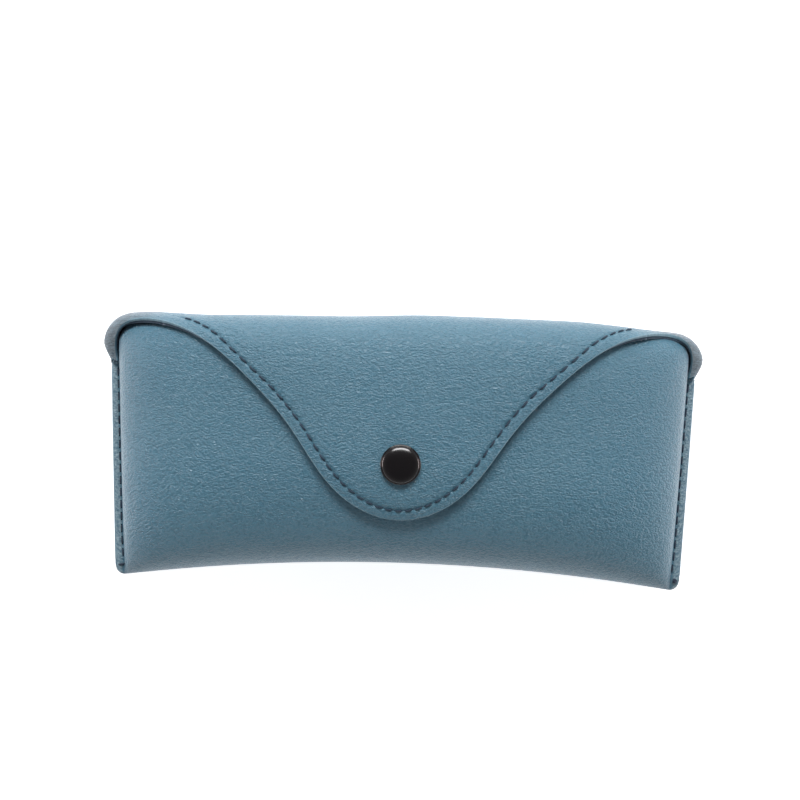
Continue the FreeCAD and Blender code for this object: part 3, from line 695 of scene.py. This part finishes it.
def pouch_layer(skin, v, columns):
    """Points, unrolled places and thickness of the front or the back at the rows v."""
    w, out = columns
    rows, spread = np.meshgrid(v, w, indexing="ij")
    points = skin.place(spread, rows)
    x, y, z = points[..., 0], points[..., 1], points[..., 2]
    u, across = across_at(spread)
    sign = np.sign(spread)
    body = np.abs(z - SEAM_Z)
    front = skin.side > 0
    ending = 1.0 - smooth(y, *((SEAM_TOP, SEAM_TOP + 2.8) if front else (18.5, SEAM_TOP)))
    crease = FOLD_ROUND * ending
    width = STRIP_LOW + (STRIP_HIGH - STRIP_LOW) * (y + HALF_HEIGHT) / (SEAM_TOP + HALF_HEIGHT)
    corner = np.clip((out * width - (width - STRIP_CORNER)) / STRIP_CORNER, 0.0, 1.0)
    cut = STRIP_CORNER * (1.0 - np.sqrt(1.0 - corner ** 2))
    y_strip = np.where(y < 0, y * (1.0 - cut / HALF_HEIGHT), y)
    reach = np.where(y < 0, skin.reach(u, y) - cut, 1e6)
    to_fold = np.clip(reach + y_strip, 0.0, 1.0)
    layer = ending * np.sqrt(1.0 - (1.0 - to_fold) ** 2)
    wall = skin.half_width(y)
    under_ear = ear_half(y) + STRIP_STEP * smooth(y, EAR_START, SEAM_TOP)
    outer = np.maximum(seam_half(y) + width, under_ear)
    if front:
        outer = outer - STRIP_TUCK * smooth(y, SEAM_TOP - 0.2, SEAM_TOP + 0.6)
    on_strip = out > 0
    x_body = x + sign * crease * (1.0 - across ** 2) * (1.0 - smooth(body, 0.0, 2.0))
    x_strip = sign * (wall + crease + out * (outer - wall - crease))
    points[..., 0] = np.where(on_strip, x_strip, x_body)
    points[..., 1] = np.where(on_strip, y_strip, y)
    high = (body ** 4 + layer ** 4) ** 0.25
    beside = np.abs(points[..., 0]) - seam_half(y) - SEAM_ROW
    groove = GROOVE * np.exp(-(beside / GROOVE_WIDTH) ** 2) * ending
    sunk = groove * (body < 3.0) * (to_fold >= 1.0)
    points[..., 2] = SEAM_Z + skin.side * np.maximum(high - sunk, 0.0)
    near = 1.0 - smooth(body, 0.0, 2.0)
    thick = LEATHER * (1.0 - near) + 0.97 * np.maximum(layer, 0.08) * near
    return points, np.stack([spread + sign * out * width, rows], axis=-1), thick


ROW_STEP = 1.45
COLUMNS = pouch_columns()
FRONT_TOP = float(FRONT.unroll(np.array([0.0]), np.array([MOUTH_EDGE]))[1][0])
FRONT_END = float(FRONT.unroll(np.array([seam_half(SEAM_TOP)]), np.array([SEAM_TOP]))[1][0])
FRONT_V = np.concatenate([
    np.linspace(FRONT_TOP, FRONT_END, int((FRONT_TOP - FRONT_END) / ROW_STEP))[:-1],
    np.linspace(FRONT_END, -FOLD, int((FRONT_END + FOLD) / ROW_STEP))])
BACK_V = np.linspace(-FOLD, SEAM_TOP_WAY, int((SEAM_TOP_WAY + FOLD) / ROW_STEP))

front_points, front_plane, front_thick = pouch_layer(FRONT, FRONT_V, COLUMNS)
back_points, back_plane, back_thick = pouch_layer(BACK, BACK_V, COLUMNS)
back_points = rest_on_floor(back_points)
back_plane[..., 1] = -2.0 * FOLD - back_plane[..., 1]
POUCH_POINTS = np.concatenate([front_points, back_points[1:]])
POUCH_PLANE = np.concatenate([front_plane, back_plane[1:]])
POUCH_THICK = np.concatenate([front_thick, back_thick[1:]])
POUCH_ROWS, POUCH_COLUMNS = POUCH_THICK.shape


def flat(array):
    return array.reshape(-1, array.shape[-1])


def pouch_kept(quads):
    """The strips end just inside the ears; the front panel goes on without them."""
    strip = (COLUMNS[1][quads % POUCH_COLUMNS] > 0).any(axis=1)
    rows = quads // POUCH_COLUMNS
    level = FRONT_V[np.minimum(rows, len(FRONT_V) - 1)].max(axis=1)
    above = (rows < len(FRONT_V)).all(axis=1) & (level > FRONT_END + 1.3 * ROW_STEP)
    return quads[~(strip & above)]


def joined_normals():
    """Normals over the whole leather, so that no line shows where its pieces meet."""
    parts = [POUCH_POINTS, UPPER_POINTS, FLAP_POINTS]
    first = np.cumsum([0] + [p.shape[0] * p.shape[1] for p in parts])
    pouch = pouch_kept(grid_quads(POUCH_ROWS, POUCH_COLUMNS))
    upper = grid_quads(len(ROW_V), len(COLUMN_W), first[1])
    flap = grid_quads(FLAP_ROWS, FLAP_COLUMNS, first[2])
    quads = np.concatenate([pouch[:, ::-1], upper[:, ::-1], flap])
    normals = vertex_normals(np.concatenate([flat(p) for p in parts]), quads)
    return [normals[a:b] for a, b in zip(first[:-1], first[1:])]


POUCH_NORMALS, UPPER_NORMALS, FLAP_NORMALS = joined_normals()


def with_depth(plane):
    """Unrolled place with a third number, for the materials."""
    plane = flat(plane)
    return np.concatenate([plane, np.zeros((len(plane), 1))], axis=1)


def thinned(count, step):
    """Every so many of a grid's lines, with the last one."""
    lines = list(range(0, count, step))
    return lines if lines[-1] == count - 1 else lines + [count - 1]


# --- the pouch ---

POUCH_QUADS = pouch_kept(grid_quads(POUCH_ROWS, POUCH_COLUMNS))[:, ::-1]
POUCH_JOINED = np.repeat(np.arange(POUCH_ROWS) == POUCH_ROWS - 1, POUCH_COLUMNS)
ON_STRIP = {"strip": np.tile(smooth(COLUMNS[1], 0.1, 0.35), POUCH_ROWS)}

shell = make_sheet(
    "pouch_shell", flat(POUCH_POINTS), POUCH_NORMALS, POUCH_QUADS, POUCH_THICK.reshape(-1), 0.0,
    SHEET_MATERIALS, with_depth(POUCH_PLANE), POUCH_JOINED, ON_STRIP)
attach(shell, "pouch")
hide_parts("front_panel", "back_panel")


def make_lining(name, points, normals, quads, plane, joined):
    return make_sheet(name, points, normals, quads, LINING, LEATHER + BOND, LINING_MATERIALS,
                      plane, joined)


def grid_lining(name, points, normals, plane, rows, columns, joined, way=1):
    """A lining on some rows and columns of a grid of the leather."""
    keep = np.ix_(rows, columns)
    quads = grid_quads(len(rows), len(columns))[:, ::way]
    normals = normals.reshape(points.shape)
    return make_lining(
        name, flat(points[keep]), flat(normals[keep]), quads, with_depth(plane[keep]), joined)


BODY_COLUMNS = [c for c in range(POUCH_COLUMNS) if COLUMNS[1][c] == 0]
inner_columns = BODY_COLUMNS[:8] + BODY_COLUMNS[8:-8:2] + BODY_COLUMNS[-8:]
inner_rows = thinned(POUCH_ROWS, 2)
inner_joined = np.repeat(np.array(inner_rows) == POUCH_ROWS - 1, len(inner_columns))
pouch_lining = grid_lining("pouch_lining", POUCH_POINTS, POUCH_NORMALS, POUCH_PLANE, inner_rows,
                           inner_columns, inner_joined, way=-1)
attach(pouch_lining, "pouch")
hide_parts("front_lining", "back_lining")


# --- the flap ---

FRONT_HALF = np.abs(COLUMN_W[np.abs(COLUMN_W) <= 70.0]).max()
FRONT_FLAP = np.flatnonzero(np.abs(EDGE[:, 0]) <= FRONT_HALF)
FIRST, LAST = FRONT_FLAP[0], FRONT_FLAP[-1]


def hood_share(points):
    """How far a point belongs to the ear's hood, whose leather is creased and, on its upper side,
    coloured with painted sheen and painted shade.
    """
    x, y, z = points[:, 0], points[:, 1], points[:, 2]
    beside = smooth(np.abs(x), 66.0, 80.0)
    front = smooth(z, SEAM_Z - 8.0, SEAM_Z + 4.0)
    return beside * front * smooth(y, 19.0, 25.0)


def column_quads(low, high, first=0):
    """The flap's faces between two of its columns."""
    quads = grid_quads(FLAP_ROWS, FLAP_COLUMNS, first)
    left = (quads[:, 0] - first) % FLAP_COLUMNS
    return quads[(left >= low) & (left < high)]


def flap_joined(rows, columns, at_crest=True):
    """Where the front of the flap goes on into the ears, and over the crest."""
    row, column = np.meshgrid(np.array(rows), np.array(columns), indexing="ij")
    joined = (row > 0) & ((column == FIRST) | (column == LAST))
    return (joined | (at_crest & (row == FLAP_ROWS - 1))).reshape(-1)


ALL_FLAP = range(FLAP_ROWS), range(FLAP_COLUMNS)
flap_all = flat(FLAP_POINTS)
front_flap = make_sheet(
    "flap_front", flap_all, FLAP_NORMALS, column_quads(FIRST, LAST), LEATHER, 0.0,
    SHEET_MATERIALS, with_depth(PLANE), flap_joined(*ALL_FLAP), {"hood": hood_share(flap_all)})
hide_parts("flap_tongue")

hood_points = np.concatenate([flat(UPPER_POINTS), flap_all])
hood_normals = np.concatenate([UPPER_NORMALS, FLAP_NORMALS])
upper_plane = with_depth(UPPER_PLANE)
upper_plane[:, 1] = -2.0 * FOLD - upper_plane[:, 1]
hood_plane = np.concatenate([upper_plane, with_depth(PLANE)])
upper_count = len(upper_plane)
hood_quads = np.concatenate([
    grid_quads(len(ROW_V), len(COLUMN_W))[:, ::-1],
    column_quads(0, FIRST, upper_count),
    column_quads(LAST, FLAP_COLUMNS - 1, upper_count),
])
first_there, place_of = places(hood_points)
hood_quads = first_there[place_of][hood_quads]
hood_joined = np.concatenate([
    np.ones(upper_count, dtype=bool), flap_joined(*ALL_FLAP, at_crest=False)])
hoods = make_sheet(
    "flap_back_and_ears", hood_points, hood_normals, hood_quads, LEATHER, 0.0, SHEET_MATERIALS,
    hood_plane, hood_joined, {"hood": hood_share(hood_points)})
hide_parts("flap_roof")

# The lining's pattern runs on over the crest.
LINING_PLANE = PLANE - np.array([0.0, 2.0 * (FOLD + CREST)])
hood_lining = make_lining(
    "ear_lining", hood_points, hood_normals, hood_quads,
    np.concatenate([upper_plane, with_depth(LINING_PLANE)]), hood_joined)
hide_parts("roof_lining")

flap_columns = list(range(FIRST, LAST, 2)) + [LAST]
flap_rows = thinned(FLAP_ROWS, 2)
flap_lining = grid_lining("flap_lining", FLAP_POINTS, FLAP_NORMALS, LINING_PLANE, flap_rows,
                          flap_columns, flap_joined(flap_rows, flap_columns))
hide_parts("tongue_lining")

# The ears' sheet and its lining get their world placement baked into their meshes.
for piece in (hoods, hood_lining):
    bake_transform(piece)


# --- thread ---

def tube(line, normals, radius, length):
    """A closed thread along a line, thinner at its ends: points, faces and places on it."""
    sides, last = THREAD_SIDES, len(line) - 1
    ahead = unit(np.gradient(line, axis=0))
    beside = unit(np.cross(ahead, normals))
    above = np.cross(beside, ahead)
    rings = []
    for k, centre in enumerate(line):
        end = abs(2.0 * k / last - 1.0)
        wide = radius * (1.0 - 0.45 * end ** 6)
        for side in range(sides):
            angle = 2.0 * math.pi * side / sides
            rings.append(centre + wide * (math.cos(angle) * beside[k] + math.sin(angle) * above[k]))
    faces = []
    for k in range(last):
        for side in range(sides):
            following = (side + 1) % sides
            faces.append((k * sides + side, k * sides + following,
                          (k + 1) * sides + following, (k + 1) * sides + side))
    faces += [tuple(range(sides))[::-1], tuple(last * sides + side for side in range(sides))]
    along = np.repeat(np.linspace(0.0, length, len(line)), sides)
    around = np.tile(np.arange(sides) * (2.0 * math.pi / sides), len(line))
    return np.array(rings), faces, np.stack([along, around, 0.0 * along], axis=1)


def lens(centre, normal, ahead, long, wide, high):
    """A flat closed lens that lies on a surface."""
    beside = np.cross(normal, ahead)
    sides = HOLE_SIDES
    points = [centre + normal * high]
    for share, lift in ((0.6, 0.75), (1.0, 0.0)):
        for side in range(sides):
            angle = 2.0 * math.pi * side / sides
            spoke = long * math.cos(angle) * ahead + wide * math.sin(angle) * beside
            points.append(centre + share * spoke + normal * high * lift)
    points.append(centre - normal * high)
    faces = []
    for side in range(sides):
        a, b = 1 + side, 1 + (side + 1) % sides
        faces += [(0, a, b), (a, a + sides, b + sides, b), (a + sides, 1 + 2 * sides, b + sides)]
    return np.array(points), faces


class ThreadMaker:
    """Gathers the stitches of one piece of sewing, with a dark lens at each end: the needle hole
    and its painted shade.
    """

    def __init__(self):
        self.points, self.faces, self.kinds, self.sheet = [], [], [], []
        self.count = 0

    def add(self, points, faces, kind, sheet):
        self.faces += [tuple(self.count + i for i in face) for face in faces]
        self.kinds += [kind] * len(faces)
        self.points.append(points)
        self.sheet.append(sheet)
        self.count += len(points)

    def stitch(self, line, normals, hole_size, thickness=THREAD):
        reach = line[-1] - line[0]
        points, faces, place = tube(line, normals, thickness, np.linalg.norm(reach))
        self.add(points, faces, 0, place)
        # A dark lens on the surface at each end of the stitch: painted shade of the needle hole.
        for end in (0, -1):
            normal = normals[end]
            spot = line[end] + normal * HOLE_DEPTH
            ahead = unit(reach)
            ahead = unit(ahead - normal * (ahead @ normal))
            hole, faces = lens(spot, normal, ahead, hole_size, 0.75 * hole_size, 0.05)
            self.add(hole, faces, 1, hole)

    def finish(self, name, material):
        return make_object(name, np.concatenate(self.points), self.faces, [material, HOLE],
                           self.kinds, np.concatenate(self.sheet))


ARC = np.linspace(-1.0, 1.0, 11)
ARCH = (0.62 * THREAD + HOLE_DEPTH) * (1.0 - np.abs(ARC) ** 5) - HOLE_DEPTH


def flap_row(way):
    """Surface points and normals on the flap's stitch row at distances along the edge."""
    def at(way, away):
        place = np.stack([np.interp(way, EDGE_WAY, EDGE[:, k]) for k in (0, 1)], axis=-1)
        inward = np.stack([np.interp(way, EDGE_WAY, INWARD[:, k]) for k in (0, 1)], axis=-1)
        return flap_outer(place + inward * away, way * 0.0 + away, way)
    here = at(way, STITCH_ROW)
    ahead = at(way + 0.2, STITCH_ROW) - at(way - 0.2, STITCH_ROW)
    across = at(way, STITCH_ROW + 1.2) - at(way, STITCH_ROW - 1.2)
    return here, unit(np.cross(ahead, across))


FLAP_STITCH, FLAP_HOLE, FLAP_STITCH_HALF = 0.31, 0.42, 1.22
SEAM_STITCH, SEAM_HOLE, SEAM_STITCH_HALF = 0.25, 0.30, 0.95
STITCH_END = 68.5        # X on the edge where the flap's stitches end

flap_thread = ThreadMaker()
row_end = np.interp(STITCH_END, EDGE[HALF_COLUMNS:, 0], EDGE_WAY[HALF_COLUMNS:])
stitch_count = int((row_end - 0.5 * STITCH_PITCH) / STITCH_PITCH)
for index in range(-stitch_count - 1, stitch_count + 1):
    middle = (index + 0.5) * STITCH_PITCH
    spots, upward = flap_row(middle + ARC * FLAP_STITCH_HALF)
    lean = 0.10 * ARC[:, None] * np.cross(upward, unit(np.gradient(spots, axis=0)))
    flap_thread.stitch(spots + upward * ARCH[:, None] + lean, upward, FLAP_HOLE, FLAP_STITCH)
flap_thread = flap_thread.finish("flap_edge_thread", FLAP_THREAD)
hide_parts("tongue_edge_thread", "roof_edge_thread_left", "roof_edge_thread_right")
for piece in (front_flap, flap_lining, flap_thread):
    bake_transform(piece)


FIRST_STITCH = -HALF_HEIGHT + 4.6
SEAM_DRIFT = 0.315       # how far the lowest stitches drift towards the walls
BACK_STITCH_TOP = 17.0   # the back's stitches stop here, below the ears


def seam_stitches(mirror):
    """One side seam's stitches, on the front and on the back."""
    maker = ThreadMaker()
    for index in range(int((SEAM_TOP - FIRST_STITCH) / STITCH_PITCH)):
        middle = FIRST_STITCH + (index + 0.5) * STITCH_PITCH
        for side in (1, -1):
            if side < 0 and middle > BACK_STITCH_TOP:
                continue
            y = middle + ARC * SEAM_STITCH_HALF
            x = mirror * (seam_half(y) + SEAM_ROW - SEAM_DRIFT * smooth(-y, 26.0, 36.0))
            z = SEAM_Z + side * (LEATHER - 0.16 + ARCH * 0.9)
            line = np.stack([x, y, z], axis=1)
            upward = np.tile([0.0, 0.0, float(side)], (len(y), 1))
            maker.stitch(line, upward, SEAM_HOLE, SEAM_STITCH)
    return maker.finish("seam_stitching_%s" % ("right" if mirror > 0 else "left"), SEAM_THREAD)


for mirror, name in ((-1, "left"), (1, "right")):
    thread = seam_stitches(mirror)
    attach(thread, "pouch")
    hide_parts("side_seam_thread_%s" % name)

tack = ThreadMaker()
tack_y = -HALF_HEIGHT + 2.9
tack_x = -seam_half(tack_y) - 0.9 + ARC
tack_line = np.stack([tack_x, tack_y + 0.12 * ARC, SEAM_Z + LEATHER + ARCH * 1.1], axis=1)
tack.stitch(tack_line, np.tile([0.0, 0.0, 1.0], (len(ARC), 1)), 0.32)
tack = tack.finish("seam_end_tack", SEAM_THREAD)
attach(tack, "pouch")
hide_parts("seam_tack_left")


def knot():
    """A small hard knot: three tight turns of the thread over one another."""
    box = [np.array(corner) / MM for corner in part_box("seam_knot_right")]
    x, y = 0.5 * (box[0] + box[1])[:2]
    maker = ThreadMaker()
    t = np.linspace(0.0, 2.0 * math.pi, 49)
    radius = 0.36 + 0.16 * np.cos(3.0 * t)
    line = np.stack([
        x + radius * np.cos(2.0 * t) * 1.05,
        y + radius * np.sin(2.0 * t) * 0.9,
        SEAM_Z + LEATHER + 0.42 + 0.24 * np.sin(3.0 * t)], axis=1)
    outward = unit(line - np.array([x, y, SEAM_Z + LEATHER]))
    points, faces, place = tube(line, outward, THREAD * 0.95, 6.0)
    maker.add(points, faces, 0, place)
    return maker.finish("seam_end_knot", SEAM_THREAD)


end_knot = knot()
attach(end_knot, "pouch")
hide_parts("seam_knot_right")


# --- the press stud ---

def turned(name, profile, centre, material, around=96):
    """A closed solid turned about Z from (radius, height) pairs, from axis to axis."""
    ring = np.arange(around) * 2.0 * math.pi / around
    middle = np.array(profile[1:-1])
    points = np.stack([
        centre[0] + middle[:, :1] * np.cos(ring),
        centre[1] + middle[:, :1] * np.sin(ring),
        centre[2] + middle[:, 1:] + 0.0 * ring], axis=-1).reshape(-1, 3)
    ends = np.array([[centre[0], centre[1], centre[2] + profile[k][1]] for k in (0, -1)])
    first, last = len(points), len(points) + 1
    top = len(points) - around
    faces = []
    for j in range(around):
        following = (j + 1) % around
        faces.append((first, following, j))
        for a in range(0, top, around):
            b = a + around
            faces.append((a + j, a + following, b + following, b + j))
        faces.append((top + j, top + following, last))
    points = np.concatenate([points, ends])
    return make_object(name, points, faces, [material], [0] * len(faces), points)


def snap_cap():
    """Domed cap with a rolled rim, and the tube that is flared inside the socket."""
    low, high = (np.array(corner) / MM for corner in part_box("snap_cap"))
    radius = 0.5 * (high[0] - low[0])
    base = high[2] - CAP_RISE
    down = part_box("snap_socket")[1][2] / MM - base
    rim = 0.9
    profile = [
        (0.0, CAP_RISE - 0.66), (1.05, CAP_RISE - 0.7), (1.05, down - 0.95), (1.25, down - 1.12),
        (1.9, down - 1.16), (2.0, down - 1.04), (1.9, down - 0.92), (1.6, down - 0.86), (1.6, 0.55),
        (radius - 0.6, 0.55), (radius - 0.6, 0.06), (radius - 0.32, 0.0), (radius - 0.1, 0.03),
        (radius, 0.16), (radius, 0.62), (radius - 0.07, 0.78), (radius - 0.2, 0.87),
        (radius - 0.33, rim)]
    shoulder = radius - 0.42
    for angle in np.linspace(0.0, 0.5 * math.pi, 25):
        profile.append((shoulder * math.cos(angle), rim + (CAP_RISE - rim) * math.sin(angle)))
    return turned("snap_cap_dome", profile, (0.0, SNAP_Y, base), ENAMEL)


cap = snap_cap()
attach(cap, "tongue")
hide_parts("snap_cap")


def repaint(node, material):
    """Give a CAD piece that is kept as it is a finished material."""
    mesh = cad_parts[node].data
    mesh.materials.clear()
    mesh.materials.append(material)


for node in ("snap_socket", "snap_stud", "snap_post"):
    repaint(node, GUNMETAL)
repaint("snap_spring", STEEL)


# --- floor, light and camera, in metres ---

CASE_MIDDLE = (0.0, 0.0, 0.02)


def floor():
    mesh = bpy.data.meshes.new("floor")
    reach, level = 3.0, -0.0002
    corners = [(x * reach, y * reach, level) for x, y in ((-1, -1), (1, -1), (1, 1), (-1, 1))]
    mesh.from_pydata(corners, [], [(0, 1, 2, 3)])
    obj = bpy.data.objects.new("floor", mesh)
    bpy.context.scene.collection.objects.link(obj)
    n = Nodes("white_table")
    tooth = n.noise(n.node("ShaderNodeTexCoord").outputs["Object"], 120.0, 3.0)
    n.set(Base_Color=n.mix(tooth, (0.84, 0.84, 0.845, 1.0), (0.87, 0.87, 0.87, 1.0)), Roughness=0.8,
          Specular_IOR_Level=0.1, Emission_Color=(1.0, 1.0, 1.0, 1.0), Emission_Strength=0.75)
    mesh.materials.append(n.material)


def area_light(name, place, width, height, power, colour=(1.0, 1.0, 1.0)):
    """A soft box that looks at the middle of the case."""
    data = bpy.data.lights.new(name, "AREA")
    data.shape = "RECTANGLE"
    data.size, data.size_y = width, height
    data.energy, data.color = power, colour
    obj = bpy.data.objects.new(name, data)
    obj.location = place
    obj.rotation_mode = "QUATERNION"
    obj.rotation_quaternion = (Vector(place) - Vector(CASE_MIDDLE)).to_track_quat("Z", "Y")
    bpy.context.scene.collection.objects.link(obj)


def surroundings():
    """A white room whose ceiling is dim and whose walls are bright."""
    world = bpy.data.worlds.new("room")
    bpy.context.scene.world = world
    world.use_nodes = True
    tree = world.node_tree
    background = next(n for n in tree.nodes if n.type == "BACKGROUND")
    direction = tree.nodes.new("ShaderNodeTexCoord")
    parts = tree.nodes.new("ShaderNodeSeparateXYZ")
    ramp = tree.nodes.new("ShaderNodeValToRGB")
    wall, ceiling = ramp.color_ramp.elements
    wall.position, wall.color = 0.0, (1.0, 1.0, 1.0, 1.0)
    ceiling.position, ceiling.color = 0.85, (0.22, 0.22, 0.23, 1.0)
    tree.links.new(direction.outputs["Generated"], parts.inputs[0])
    tree.links.new(parts.outputs[2], ramp.inputs[0])
    tree.links.new(ramp.outputs[0], background.inputs[0])
    background.inputs[1].default_value = 0.75


def camera():
    data = bpy.data.cameras.new("camera")
    data.lens, data.sensor_width = 100.0, 36.0
    data.clip_start, data.clip_end = 0.01, 20.0
    obj = bpy.data.objects.new("camera", data)
    obj.location = (-0.0007, 0.0142, 0.668)
    obj.rotation_euler = (0.0, 0.0, math.radians(1.7))
    bpy.context.scene.collection.objects.link(obj)
    bpy.context.scene.camera = obj


floor()
surroundings()
area_light("softbox_back", (0.0, 0.80, 0.80), 0.9, 0.30, 14.0)
area_light("rim_back", (0.0, 1.1, 0.26), 1.2, 0.25, 0.9, (1.0, 0.86, 0.90))
area_light("softbox_left", (-0.95, 0.10, 0.12), 0.5, 0.22, 3.4, (1.0, 0.82, 0.80))
area_light("softbox_right", (0.95, 0.06, 0.12), 0.5, 0.22, 3.2, (1.0, 0.82, 0.80))
camera()
bpy.context.scene.view_settings.view_transform = "Standard"
bpy.context.scene.view_settings.look = "None"
